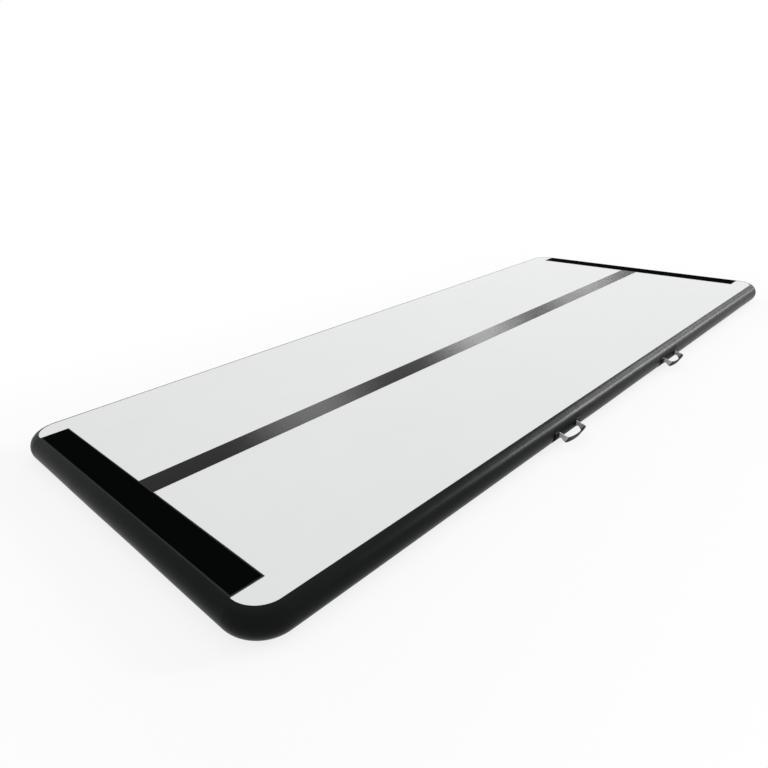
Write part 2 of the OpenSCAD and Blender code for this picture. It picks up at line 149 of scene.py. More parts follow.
class NodeBook:
    """Node tree of one material or of the world."""

    def __init__(self, tree: bpy.types.NodeTree) -> None:
        """Clear the tree and keep it."""
        self.tree = tree
        tree.nodes.clear()

    def add(
        self,
        kind: str,
        settings: Mapping[str, Any] | None = None,
        sockets: Mapping[Any, Any] | None = None,
    ) -> bpy.types.Node:
        """Add a node.

        Args:
            kind: Type of the node.
            settings: Properties of the node, set first.
            sockets: Numbers, colours or values for its sockets.

        Returns:
            The node.
        """
        node = self.tree.nodes.new(kind)
        for key, setting in (settings or {}).items():
            setattr(node, key, setting)
        for key, value in (sockets or {}).items():
            if isinstance(value, Value):
                self.tree.links.new(value.socket, node.inputs[key])
            else:
                node.inputs[key].default_value = value
        return node

    def out(
        self,
        kind: str,
        settings: Mapping[str, Any] | None = None,
        sockets: Mapping[Any, Any] | None = None,
        result: Any = 0,
    ) -> Value:
        """Add a node and give one of its results.

        Args:
            kind: Type of the node.
            settings: Properties of the node.
            sockets: Numbers, colours or values for its sockets.
            result: Name or place of the output.

        Returns:
            The output's value.
        """
        return Value(self, self.add(kind, settings, sockets).outputs[result])

    def place(self) -> Value:
        """Object coordinates, in metres."""
        return self.out("ShaderNodeTexCoord", result="Object")

    def axes(self, vector: Value) -> tuple[Value, Value, Value]:
        """The three parts of a vector.

        Args:
            vector: The vector.

        Returns:
            Its x, y and z.
        """
        node = self.add("ShaderNodeSeparateXYZ", sockets={0: vector})
        x, y, z = (Value(self, part) for part in node.outputs)
        return x, y, z

    def trait(self, name: str) -> Value:
        """A number stored on the mesh's points."""
        return self.out("ShaderNodeAttribute", {"attribute_name": name}, result="Fac")

    def stretched(self, vector: Value, scale: Scale) -> Value:
        """A vector with each part scaled."""
        return self.out("ShaderNodeVectorMath", {"operation": "MULTIPLY"}, {0: vector, 1: scale})

    def grain(
        self, vector: Value, scale: float, detail: float = 2.0, roughness: float = 0.5
    ) -> Value:
        """Noise.

        Args:
            vector: Coordinates.
            scale: Grains per metre.
            detail: Octaves.
            roughness: Share of the finer octaves.

        Returns:
            Noise, from 0 to 1.
        """
        return self.out(
            "ShaderNodeTexNoise",
            sockets={"Vector": vector, "Scale": scale, "Detail": detail, "Roughness": roughness},
        )

    def blend(self, factor: Value, low: Colour, high: Colour) -> Value:
        """Mix two colours by a value.

        Args:
            factor: Value from 0 to 1.
            low: Colour at 0.
            high: Colour at 1.

        Returns:
            The mixed colour.
        """
        return self.out(
            "ShaderNodeMix",
            {"data_type": "RGBA"},
            {"Factor": factor, MIX_LOW: (*low, 1.0), MIX_HIGH: (*high, 1.0)},
            result=MIX_RESULT,
        )

    def relief(self, height: Value, depth: float, over: Value | None = None) -> Value:
        """Normal from a height.

        Args:
            height: Height, from 0 to 1.
            depth: Metres that a height of 1 stands for.
            over: Normal of a coarser relief that this one lies on.

        Returns:
            The normal.
        """
        sockets = {"Height": height, "Distance": depth, "Strength": 1.0}
        if over is not None:
            sockets["Normal"] = over
        return self.out("ShaderNodeBump", sockets=sockets)

    def surface(self, sockets: Mapping[str, Any]) -> None:
        """Close the tree with a Principled shader that takes these sockets."""
        shader = self.out("ShaderNodeBsdfPrincipled", sockets=sockets)
        self.add("ShaderNodeOutputMaterial", sockets={"Surface": shader})


@dataclass(frozen=True)
class Finish(ABC):
    """Finish of a surface: its name, colour and gloss."""

    name: str
    colour: Colour
    roughness: float = 0.5
    specular: float = 0.5

    @abstractmethod
    def shade(self, book: NodeBook) -> dict[str, Any]:
        """Sockets that this finish gives its shader.

        Args:
            book: Tree to add nodes to.

        Returns:
            Socket names with their numbers or values.
        """

    def tint(self, book: NodeBook, factor: Value, spread: float) -> Value:
        """The colour, made darker and lighter by a value.

        Args:
            book: Tree to add nodes to.
            factor: Value from 0 to 1.
            spread: Share by which the colour goes down and up.

        Returns:
            The varied colour.
        """
        low = tuple(c * (1 - spread) for c in self.colour)
        high = tuple(min(1.0, c * (1 + spread)) for c in self.colour)
        return book.blend(factor, low, high)

    def gloss(self, marks: Value, uneven: float) -> Value:
        """The roughness, made lower and higher by a value.

        Args:
            marks: Value from 0 to 1.
            uneven: Spread of the roughness.

        Returns:
            The varied roughness.
        """
        return marks * uneven + (self.roughness - uneven / 2)

    def material(self) -> bpy.types.Material:
        """The material, made once.

        Returns:
            The material.
        """
        title = f"{self.name}_finish"
        found = bpy.data.materials.get(title)
        if found:
            return found
        made = bpy.data.materials.new(title)
        made.use_nodes = True
        book = NodeBook(made.node_tree)
        sockets = {"Roughness": self.roughness, "Specular IOR Level": self.specular}
        sockets.update(self.shade(book))
        book.surface(sockets)
        return made


@dataclass(frozen=True)
class CoatedCloth(Finish):
    """Smooth coated cloth whose woven core shows through as a fine dimple."""

    pitch: float = 0.0016
    depth: float = 0.00004
    mottle: float = 0.02
    uneven: float = 0.16
    skin_grain: float = 900.0
    mark_grain: float = 5.0
    mark_draw: Scale = (0.6, 1.0, 1.0)

    def shade(self, book: NodeBook) -> dict[str, Any]:
        """Weave, faint marks and an uneven gloss.

        Args:
            book: Tree to add nodes to.

        Returns:
            Socket names with their numbers or values.
        """
        place = book.place()
        x, y, _ = book.axes(place)
        weave = x.wave(2 * self.pitch) * y.wave(2 * self.pitch)
        skin = book.grain(place, self.skin_grain)
        drawn = book.stretched(place, self.mark_draw)
        marks = book.grain(drawn, self.mark_grain, detail=4.0, roughness=0.6)
        return {
            "Base Color": self.tint(book, marks, self.mottle),
            "Roughness": self.gloss(marks, self.uneven),
            "Normal": book.relief(weave * 0.35 + skin * 0.5, self.depth),
        }


@dataclass(frozen=True)
class WallCloth(Finish):
    """Semi-gloss coated cloth of the side wall, with soft creases along it."""

    depth: float = 0.00006
    crease: float = 0.0009
    mottle: float = 0.12
    uneven: float = 0.14
    skin_grain: float = 1100.0
    mark_grain: float = 9.0
    fold_grain: float = 22.0
    fold_draw: Scale = (0.35, 0.35, 1.0)

    def shade(self, book: NodeBook) -> dict[str, Any]:
        """Fine grain, long soft creases, and handling marks in the gloss.

        Args:
            book: Tree to add nodes to.

        Returns:
            Socket names with their numbers or values.
        """
        place = book.place()
        skin = book.grain(place, self.skin_grain)
        drawn = book.stretched(place, self.fold_draw)
        folds = book.grain(drawn, self.fold_grain, detail=3.0, roughness=0.45)
        marks = book.grain(place, self.mark_grain, detail=4.0, roughness=0.6)
        return {
            "Base Color": self.tint(book, marks, self.mottle),
            "Roughness": self.gloss(marks, self.uneven),
            "Normal": book.relief(skin, self.depth, over=book.relief(folds, self.crease)),
        }


@dataclass(frozen=True)
class Pile(Finish):
    """Loop pile or hooks: deep, matt and dark between the tufts."""

    tufts: float = 700.0
    depth: float = 0.0006
    mottle: float = 0.5
    fuzz_grain: float = 2600.0
    nap_grain: float = 30.0
    nap_draw: Scale = (1.0, 0.25, 1.0)

    def shade(self, book: NodeBook) -> dict[str, Any]:
        """Tufts close together, with a faint nap.

        Args:
            book: Tree to add nodes to.

        Returns:
            Socket names with their numbers or values.
        """
        place = book.place()
        cells = book.out(
            "ShaderNodeTexVoronoi",
            sockets={"Vector": place, "Scale": self.tufts},
            result="Distance",
        )
        drawn = book.stretched(place, self.nap_draw)
        nap = book.grain(drawn, self.nap_grain, detail=4.0, roughness=0.6)
        fuzz = book.grain(place, self.fuzz_grain)
        return {
            "Base Color": self.tint(book, nap * 0.6 + cells * 0.4, self.mottle),
            "Normal": book.relief((1.0 - cells) * 0.7 + fuzz * 0.5, self.depth),
        }


@dataclass(frozen=True)
class Webbing(Finish):
    """Woven webbing: ribs across a strap, with bound edges."""

    rib: float = 0.0022
    width: float = 0.025
    depth: float = 0.00035
    mottle: float = 0.35
    warp_ribs: float = 1.3
    warp_push: float = 0.22
    edge_from: float = 0.42
    edge_full: float = 0.48
    fibre_grain: float = 3200.0
    wear_grain: float = 60.0

    def shade(self, book: NodeBook) -> dict[str, Any]:
        """Over-and-under ribs that follow the strap.

        Args:
            book: Tree to add nodes to.

        Returns:
            Socket names with their numbers or values.
        """
        along, across = book.trait("along"), book.trait("across")
        warp = across.wave(self.rib * self.warp_ribs)
        weft = (along + warp * (self.rib * self.warp_push)).wave(self.rib)
        edge = across.size().rise(self.width * self.edge_from, self.width * self.edge_full)
        fibre = book.grain(book.place(), self.fibre_grain)
        height = weft * warp * 0.4 + edge * 0.4 + fibre * 0.35
        wear = book.grain(book.place(), self.wear_grain, detail=3.0)
        return {
            "Base Color": self.tint(book, height * 0.5 + wear * 0.5, self.mottle),
            "Normal": book.relief(height, self.depth),
        }


@dataclass(frozen=True)
class Moulded(Finish):
    """Moulded plastic or rubber with a fine spark-eroded texture."""

    grain: float = 1100.0
    depth: float = 0.00012
    mottle: float = 0.22
    uneven: float = 0.3
    mark_grain: float = 70.0

    def shade(self, book: NodeBook) -> dict[str, Any]:
        """Texture of the mould and an uneven gloss.

        Args:
            book: Tree to add nodes to.

        Returns:
            Socket names with their numbers or values.
        """
        place = book.place()
        skin = book.grain(place, self.grain, detail=3.0)
        marks = book.grain(place, self.mark_grain, detail=3.0)
        return {
            "Base Color": self.tint(book, marks, self.mottle),
            "Roughness": self.gloss(marks, self.uneven),
            "Normal": book.relief(skin, self.depth),
        }


@dataclass(frozen=True)
class Wire(Finish):
    """Drawn steel wire."""

    mottle: float = 0.1
    uneven: float = 0.2
    mark_grain: float = 900.0

    def shade(self, book: NodeBook) -> dict[str, Any]:
        """Metal with faint drawing marks.

        Args:
            book: Tree to add nodes to.

        Returns:
            Socket names with their numbers or values.
        """
        marks = book.grain(book.place(), self.mark_grain, detail=3.0)
        return {
            "Base Color": self.tint(book, marks, self.mottle),
            "Metallic": 1.0,
            "Roughness": self.gloss(marks, self.uneven),
        }


@dataclass(frozen=True)
class Yarn(Finish):
    """Spun yarn."""

    pitch: float = 0.003
    depth: float = 0.0003
    mottle: float = 0.15

    def shade(self, book: NodeBook) -> dict[str, Any]:
        """Twist of the yarn.

        Args:
            book: Tree to add nodes to.

        Returns:
            Socket names with their numbers or values.
        """
        _, _, z = book.axes(book.place())
        twist = z.wave(self.pitch) * 0.5 + 0.5
        return {
            "Base Color": self.tint(book, twist, self.mottle),
            "Normal": book.relief(twist, self.depth),
        }


class Finishes:
    """Every finish on the mat."""

    deck = CoatedCloth("deck_white", (0.80, 0.815, 0.805), 0.78, 0.06)
    base = CoatedCloth("base_grey", (0.16, 0.17, 0.18), 0.6, 0.3)
    wall = WallCloth("wall_black", (0.0042, 0.0054, 0.0054), 0.33, 0.07)
    band = CoatedCloth("band_black", (0.03, 0.03, 0.035), 0.6, 0.3)
    patch = CoatedCloth(
        "patch_black", (0.005, 0.006, 0.006), 0.5, 0.05, pitch=0.0012, depth=0.00006
    )
    # Painted shade: the grip cover's dark colour stands in for shade on the grip's outer face.
    sleeve_painted_shade = Moulded("grip_painted_shade", (0.018, 0.019, 0.019), 0.6, 0.15, grain=900.0, depth=0.0002)
    tape = CoatedCloth(
        "join_tape", (0.030, 0.031, 0.030), 0.85, 0.05, pitch=0.0008, depth=0.00012
    )
    pile = Pile("join_pile", (0.0020, 0.0026, 0.0022), 1.0, 0.0)
    hooks = Pile("join_hooks", (0.0030, 0.0034, 0.0030), 0.8, 0.0, tufts=520.0, depth=0.0004)
    stripe = CoatedCloth(
        "stripe_grey", (0.009, 0.010, 0.009), 0.19, 0.05, depth=0.000006, mottle=0.15, uneven=0.04
    )
    webbing = Webbing("webbing", (0.57, 0.575, 0.575), 0.75, 0.2)
    thread = Yarn("sewing_thread", (0.03, 0.03, 0.032), 0.7, 0.3)
    yarn = Yarn("drop_yarn", (0.72, 0.72, 0.68), 0.8, 0.2)
    plastic = Moulded("valve_plastic", (0.015, 0.016, 0.018), 0.42, 0.5)
    rubber = Moulded("valve_rubber", (0.010, 0.010, 0.010), 0.65, 0.3)
    seal = Moulded("seal_rubber", (0.27, 0.05, 0.04), 0.6, 0.4)
    tether = Moulded("tether_rubber", (0.018, 0.019, 0.02), 0.55, 0.4)
    wire = Wire("spring_steel", (0.55, 0.56, 0.58), 0.3)


def make_piece(name: str, bm: BMesh, finish: Finish, sharp: float) -> bpy.types.Object:
    """Turn a bmesh into a dressed object.

    Args:
        name: Name of the object.
        bm: Mesh, which is freed.
        finish: Finish of the surface.
        sharp: Angle in degrees above which an edge is sharp; an open border is sharp too.

    Returns:
        The object.
    """
    mesh = bpy.data.meshes.new(name)
    bm.edges.index_update()
    border = [edge.index for edge in bm.edges if edge.is_boundary]
    bm.to_mesh(mesh)
    bm.free()
    mesh.polygons.foreach_set("use_smooth", [True] * len(mesh.polygons))
    mesh.set_sharp_from_angle(angle=math.radians(sharp))
    for index in border:
        mesh.edges[index].use_edge_sharp = True
    mesh.materials.append(finish.material())
    piece = bpy.data.objects.new(name, mesh)
    bpy.context.scene.collection.objects.link(piece)
    return piece


def thicken(piece: bpy.types.Object, thickness: float) -> None:
    """Give a sheet its thickness, inwards from its own surface.

    Args:
        piece: Sheet.
        thickness: Thickness in metres.
    """
    modifier = piece.modifiers.new("cloth", "SOLIDIFY")
    modifier.thickness = thickness
    modifier.offset = -1.0
    modifier.use_even_offset = True


def dress_node(node: str, finish: Finish) -> None:
    """Give a CAD node its finish.

    Args:
        node: Name of the node.
        finish: Finish of the surface.
    """
    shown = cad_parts[node]
    shown.data.materials.clear()
    shown.data.materials.append(finish.material())
    LOG.info("node %s: %s", node, finish.name)


def step(value: float, low: float, high: float) -> float:
    """Smooth step.

    Args:
        value: Value to place.
        low: Value that gives 0.
        high: Value that gives 1.

    Returns:
        The step, from 0 to 1.
    """
    t = min(1.0, max(0.0, (value - low) / (high - low)))
    return t * t * (3 - 2 * t)


def slab(bm: BMesh, low: Vector, high: Vector, edge: float) -> None:
    """Add a box with rounded edges.

    Args:
        bm: Mesh to add to.
        low: Lowest corner.
        high: Highest corner.
        edge: Radius of the edges.
    """
    size = high - low
    made = bmesh.ops.create_cube(bm, size=1.0)["verts"]
    bmesh.ops.scale(bm, vec=size, verts=made)
    bmesh.ops.translate(bm, vec=(low + high) / 2, verts=made)
    edges = list({e for v in made for e in v.link_edges})
    bmesh.ops.bevel(
        bm, geom=edges, offset=edge, segments=2, profile=0.5, affect="EDGES", material=-1
    )


def whole(bm: BMesh) -> list[Any]:
    """All the points, edges and faces of a mesh."""
    return bm.verts[:] + bm.edges[:] + bm.faces[:]


def half_turn(bm: BMesh) -> None:
    """Turn a mesh half round the middle of the mat."""
    turn = Matrix.Rotation(math.pi, 3, "Z")
    bmesh.ops.rotate(bm, cent=(0, 0, 0), matrix=turn, verts=bm.verts[:])


class Side(Enum):
    """Long side of the mat."""

    RIGHT = -1
    LEFT = 1


class End(Enum):
    """End of the mat."""

    NEAR = -1
    FAR = 1


class Turn(Enum):
    """Way that a ribbon bends in its plane."""

    LEFT = 1
    RIGHT = -1


@dataclass
class Ribbon:
    """Flat strap drawn out along a route, with how far along and across kept on its points."""

    width: float
    thick: float
    edge: float
    cuts: int = 6
    bm: BMesh = field(default_factory=bmesh.new)
    end: list[BMFace] = field(default_factory=list)
    point: Vector = field(default_factory=Vector)
    heading: Vector = field(default_factory=Vector)
    across: Vector = field(default_factory=Vector)
    run: float = 0.0

    def start(self, point: Vector, heading: Vector, across: Vector) -> None:
        """Set the first end of the strap.

        Args:
            point: Middle of the end.
            heading: Way that the strap runs.
            across: Way that its width lies.
        """
        self.point = point.copy()
        self.heading, self.across = heading.normalized(), across.normalized()
        wide = self.across * (self.width / 2)
        deep = self.across.cross(self.heading) * (self.thick / 2)
        verts = [self.bm.verts.new(point + wide * a + deep * s) for a, s in CORNERS]
        face = self.bm.faces.new(verts)
        bmesh.ops.bevel(
            self.bm, geom=list(face.verts), offset=self.edge, segments=2, profile=0.5,
            affect="VERTICES", material=-1,
        )
        long_edges = [e for e in self.bm.edges if e.calc_length() > self.width * 0.5]
        bmesh.ops.subdivide_edges(self.bm, edges=long_edges, cuts=self.cuts)
        self.bm.verts.layers.float.new("along")
        layer = self.bm.verts.layers.float.new("across")
        for vert in self.bm.verts:
            vert[layer] = (vert.co - point).dot(self.across)
        self.end = self.bm.faces[:]

    def _ring(self) -> set[BMVert]:
        """Points of the end."""
        return {v for face in self.end for v in face.verts}

    def _draw(self) -> list[BMVert]:
        """Extrude the end by one ring, and take out the faces that this shuts in.

        Returns:
            Points of the new ring.
        """
        last = self.end
        made = bmesh.ops.extrude_face_region(self.bm, geom=last)["geom"]
        self.end = [g for g in made if isinstance(g, BMFace)]
        if self.run > 0:
            inner = [face for face in last if face.is_valid]
            bmesh.ops.delete(self.bm, geom=inner, context="FACES_ONLY")
        return list(self._ring())

    def _mark(self, length: float) -> None:
        """Store how far along the new ring is.

        Args:
            length: Distance from the ring before it.
        """
        self.run += length
        layer = self.bm.verts.layers.float["along"]
        for vert in self._ring():
            vert[layer] = self.run

    def straight(self, length: float, rings: int) -> None:
        """Run straight on.

        Args:
            length: Length in metres.
            rings: Number of rings.
        """
        each = length / rings
        for _ in range(rings):
            bmesh.ops.translate(self.bm, vec=self.heading * each, verts=self._draw())
            self.point += self.heading * each
            self._mark(each)

    def bend(self, turn: Turn, angle: float, radius: float, rings: int) -> None:
        """Bend about the width.

        Args:
            turn: Way to bend.
            angle: Angle in degrees.
            radius: Radius of the middle of the strap.
            rings: Number of rings.
        """
        side = self.across.cross(self.heading) * turn.value
        centre = self.point + side * radius
        lean = math.radians(angle / rings)
        each = Matrix.Rotation(lean * turn.value, 3, self.across)
        for _ in range(rings):
            bmesh.ops.rotate(self.bm, cent=centre, matrix=each, verts=self._draw())
            self.point = centre + each @ (self.point - centre)
            self.heading = each @ self.heading
            self._mark(lean * radius)


@dataclass
class AirChamber:
    """Drop-stitch chamber: two faces and a bulging wall round them."""

    length: float = 4.0
    width: float = 1.5
    thickness: float = 0.1
    bulge: float = 0.037
    corner: float = 0.13
    # Laps and seams: width of a lap, thickness of the cloth, how proud a lap stands, how far a
    # face's edge is let down under it and stops short of the rim, and how far a long wall runs
    # past its corners and in under the end wall.
    lap: float = 0.003
    cloth: float = 0.0011
    proud: float = 0.0006
    joggle: float = 0.0004
    gap: float = 0.0005
    seam: float = 0.014
    feather: float = -0.0008
    # Steps of the meshes.
    arc_share: float = 0.985
    arc_cuts: int = 34
    seam_cuts: int = 4
    corner_cuts: int = 26
    side_cuts: int = 280
    end_cuts: int = 110
    # Wrinkles: depth of the puckers at a corner, how close and how even they are, and where they
    # start; then how far the crest wanders, and over what length and height.
    plain_foot: float = 0.004
    pucker: float = 0.0009
    puckers: float = 26.0
    pucker_stray: float = 3.0
    stray_grain: float = 9.0
    pucker_from: float = -0.06
    pucker_full: float = 0.02
    wander: float = 0.0009
    wander_grain: float = 3.1
    wander_rise: float = 12.0
    # Land for the valve: its middle and radius, where it starts to ease into the arc, and the
    # part of the wall that is cut finely for it.
    land: Vector = field(default_factory=lambda: Vector((1.5, 0.745, 0.05)))
    land_radius: float = 0.031
    land_seat: float = 0.0264
    land_ease: float = 0.0006
    land_fade: float = 0.008
    land_field: float = 0.08
    land_margin: float = 0.005
    land_reach: float = 0.06
    land_behind: float = 0.01
    land_cut: float = 0.0015
    land_columns: int = 28
    land_rows: int = 27
    hole_radius: float = 0.0225

    @property
    def rim(self) -> Vector:
        """Half sizes of the faces at their rims."""
        return Vector((self.length / 2 - self.bulge, self.width / 2 - self.bulge))

    @property
    def turn_centre(self) -> Vector:
        """Centre of the far left corner."""
        return Vector((self.length / 2 - self.corner, self.width / 2 - self.corner))

    @property
    def arc_radius(self) -> float:
        """Radius of the wall's arc, which goes through both rims and the crest."""
        half = self.thickness / 2
        return (half * half + self.bulge * self.bulge) / (2 * self.bulge)

    def stand_out(self, height: float) -> float:
        """How far the wall stands out past the rim.

        Args:
            height: Height above the floor.

        Returns:
            Distance in metres.
        """
        radius, up = self.arc_radius, height - self.thickness / 2
        return math.sqrt(max(0.0, radius**2 - up**2)) - (radius - self.bulge)

    def section(self) -> list[Vector]:
        """Section of the wall, from the upper lap round the bulge to the lower lap.

        Returns:
            Points as distance out from the rim and height.
        """
        half, radius = self.thickness / 2, self.arc_radius
        reach = math.asin(half / radius) * self.arc_share
        top, proud = self.thickness, self.proud
        points = [
            Vector((-self.lap, top - self.joggle)),
            Vector((-self.lap, top + proud * 0.75)),
            Vector((-self.lap + proud, top + proud)),
            Vector((-self.lap * 0.5, top + proud)),
            Vector((-self.lap * 0.4, top + proud * 0.8)),
        ]
        for i in range(self.arc_cuts + 1):
            angle = reach * (1 - 2 * i / self.arc_cuts)
            out = radius * math.cos(angle) - radius + self.bulge
            points.append(Vector((out, half + radius * math.sin(angle))))
        lower = ((-0.001, 0.0001), (-self.lap * 0.5, 0.0), (-self.lap, 0.0))
        return points + [Vector(point) for point in lower]

    def _raise_section(self, bm: BMesh, origin: Vector, out: Vector) -> list[BMEdge]:
        """Stand the wall's section at a place on the rim.

        Args:
            bm: Mesh to add to.
            origin: Point of the rim, on the floor.
            out: Way out from the mat.

        Returns:
            Edges of the section.
        """
        points = [origin + out * p.x + Vector((0, 0, p.y)) for p in self.section()]
        verts = [bm.verts.new(point) for point in points]
        return [bm.edges.new(pair) for pair in zip(verts, verts[1:])]

    def _carry(self, bm: BMesh, edges: list[BMEdge], way: Vector, pieces: int) -> list[BMEdge]:
        """Carry a section straight on.

        Args:
            bm: Mesh to add to.
            edges: Edges of the section.
            way: Way and length.
            pieces: Number of pieces along it.

        Returns:
            Edges at the far end.
        """
        made = bmesh.ops.extrude_edge_only(bm, edges=edges)["geom"]
        verts = [g for g in made if isinstance(g, BMVert)]
        bmesh.ops.translate(bm, vec=way, verts=verts)
        last = [g for g in made if isinstance(g, BMEdge)]
        ends = set(verts)
        long_edges = [e for v in verts for e in v.link_edges if e.other_vert(v) not in ends]
        bmesh.ops.subdivide_edges(bm, edges=long_edges, cuts=pieces - 1, use_grid_fill=True)
        return [e for e in last if e.is_valid]

    def _round_corner(self, bm: BMesh, edges: list[BMEdge], x: float) -> list[BMEdge]:
        """Carry a section round a corner.

        Args:
            bm: Mesh to add to.
            edges: Edges of the section.
            x: Place of the corner's centre along the mat.

        Returns:
            Edges at the far end.
        """
        spun = bmesh.ops.spin(
            bm, geom=edges, cent=(x, self.turn_centre.y, 0), axis=(0, 0, 1),
            angle=math.pi / 2, steps=self.corner_cuts, use_duplicate=False,
        )["geom_last"]
        return [g for g in spun if isinstance(g, BMEdge)]

    def _soften(self, bm: BMesh) -> None:
        """Pucker the wall at the corners and let its crest wander a little.

        Args:
            bm: Mesh of a wall.
        """
        bm.normal_update()
        centre = self.turn_centre
        for vert in bm.verts:
            x, y, z = vert.co
            if z < self.plain_foot or z > self.thickness:
                continue
            dx, dy = abs(x) - centre.x, abs(y) - centre.y
            turned = step(min(dx, dy), self.pucker_from, self.pucker_full)
            share = turned if max(dx, dy) > 0 else 0.0
            turn = math.atan2(max(dy, 0.0), max(dx, 1e-6))
            tall = (z / self.thickness - 0.5) * 2
            upper = max(0.0, tall) ** 2 * (1 - tall**8)
            grain = self.stray_grain
            stray = self.pucker_stray * noise.noise(Vector((x * grain, y * grain, 0)))
            pucker = self.pucker * math.sin(turn * self.puckers + stray) * upper
            grain = self.wander_grain
            drift = noise.noise(Vector((x * grain, y * grain, z * self.wander_rise)))
            vert.co += vert.normal * (pucker * share + self.wander * drift * (1 - tall**4))

    def _face_out(self, bm: BMesh) -> None:
        """Turn every face of a wall outwards.

        Args:
            bm: Mesh of a wall.
        """
        bmesh.ops.recalc_face_normals(bm, faces=bm.faces[:])
        middles = [(face, face.calc_center_median()) for face in bm.faces]
        probe, middle = max(middles, key=lambda pair: abs(pair[1].x) + abs(pair[1].y))
        if probe.normal.dot(Vector((middle.x, middle.y, 0.0))) < 0:
            bmesh.ops.reverse_faces(bm, faces=bm.faces[:])

    def _side(self, side: Side) -> BMesh:
        """Long wall with its two corners.

        Args:
            side: Side that it stands on.

        Returns:
            The wall's mesh.
        """
        bm = bmesh.new()
        centre = self.turn_centre
        back = Vector((self.feather, -self.seam, 0))
        start = Vector((self.rim.x, centre.y, 0)) + back
        edges = self._raise_section(bm, start, Vector((1, 0, 0)))
        edges = self._carry(bm, edges, -back, self.seam_cuts)
        edges = self._round_corner(bm, edges, centre.x)
        edges = self._carry(bm, edges, Vector((-2 * centre.x, 0, 0)), self.side_cuts)
        edges = self._round_corner(bm, edges, -centre.x)
        self._carry(bm, edges, Vector((-self.feather, -self.seam, 0)), self.seam_cuts)
        self._face_out(bm)
        if side is Side.RIGHT:
            half_turn(bm)
        else:
            self._let_in_land(bm)
        self._soften(bm)
        return bm

    def _from_land(self, point: Vector) -> float:
        """Distance of a point from the valve's middle, seen square on."""
        return math.hypot(point.x - self.land.x, point.z - self.land.z)

    def _refine_land(self, bm: BMesh) -> None:
        """Cut the left wall finely round the valve.

        Args:
            bm: Mesh of the left wall.
        """
        columns = range(-self.land_columns, self.land_columns + 1)
        rows = range(-self.land_rows, self.land_rows + 1)
        planes = [(Vector((i * self.land_cut, 0, 0)), Vector((1, 0, 0))) for i in columns]
        planes += [(Vector((0, 0, i * self.land_cut)), Vector((0, 0, 1))) for i in rows]
        inner = self.rim.y - self.land_behind
        for place, way in planes:
            middles = [(face, face.calc_center_median()) for face in bm.faces]
            near = [
                face for face, middle in middles
                if abs(middle.x - self.land.x) < self.land_reach and middle.y > inner
            ]
            ring = list({g for f in near for g in (*f.verts, *f.edges, f)})
            bmesh.ops.bisect_plane(
                bm, geom=ring, dist=ON_PLANE, plane_co=self.land + place, plane_no=way
            )

    def _let_in_land(self, bm: BMesh) -> None:
        """Flatten a round land for the valve, with a hole in it.

        Args:
            bm: Mesh of the left wall.
        """
        self._refine_land(bm)
        margin = self.land_margin
        for vert in bm.verts:
            away = self._from_land(vert.co)
            if vert.co.y < self.rim.y or away > self.land_field:
                continue
            if not margin < vert.co.z < self.thickness - margin:
                continue
            arc = self.rim.y + self.stand_out(vert.co.z)
            if arc > self.land.y:
                mix = step(away, self.land_seat, self.land_radius - self.land_ease)
            else:
                mix = step(away, self.land_radius, self.land_radius + self.land_fade)
            vert.co.y = self.land.y * (1 - mix) + arc * mix
        middles = [(face, face.calc_center_median()) for face in bm.faces]
        inside = [
            face for face, middle in middles
            if middle.y > self.rim.y and self._from_land(middle) < self.hole_radius
        ]
        bmesh.ops.delete(bm, geom=inside, context="FACES")

    def _end(self, end: End) -> BMesh:
        """Wall across an end.

        Args:
            end: End that it stands at.

        Returns:
            The wall's mesh.
        """
        bm = bmesh.new()
        centre = self.turn_centre
        edges = self._raise_section(bm, Vector((self.rim.x, -centre.y, 0)), Vector((1, 0, 0)))
        self._carry(bm, edges, Vector((0, 2 * centre.y, 0)), self.end_cuts)
        self._face_out(bm)
        if end is End.NEAR:
            half_turn(bm)
        self._soften(bm)
        return bm

    def _face(self, height: float, up: bool) -> BMesh:
        """One face of the chamber, with its edge turned in under the wall's lap.

        Args:
            height: Height of its outer surface.
            up: Whether it faces up.

        Returns:
            The face's mesh.
        """
        bm = bmesh.new()
        half = Vector((self.rim.x - self.gap, self.rim.y - self.gap))
        radius = self.corner - self.bulge - self.gap
        verts = [bm.verts.new((sx * half.x, sy * half.y, height)) for sx, sy in CORNERS]
        bm.faces.new(verts)
        bmesh.ops.bevel(
            bm, geom=verts, offset=radius, segments=24, profile=0.5, affect="VERTICES", material=-1
        )
        rim = list(bm.verts)
        bmesh.ops.inset_region(bm, faces=bm.faces[:], thickness=self.lap * 0.9, depth=0.0)
        bmesh.ops.translate(bm, vec=(0, 0, -self.joggle if up else self.joggle), verts=rim)
        bm.normal_update()
        if (bm.faces[:][0].normal.z > 0) != up:
            bmesh.ops.reverse_faces(bm, faces=bm.faces[:])
        return bm

    def _cut(self, node: str) -> tuple[float, float]:
        """Flat size of a piece of cloth before the chamber is glued up.

        Args:
            node: Node that the piece stands for.

        Returns:
            Width and length in metres.
        """
        if node.endswith("deck"):
            return 2 * (self.rim.y - self.gap), 2 * (self.rim.x - self.gap)
        points = self.section()
        width = sum((b - a).length for a, b in zip(points, points[1:]))
        if node.endswith("end_wall"):
            return width, 2 * self.turn_centre.y
        corners = math.pi * (self.corner - self.bulge / 2)
        return width, 2 * self.turn_centre.x + corners + 2 * self.seam

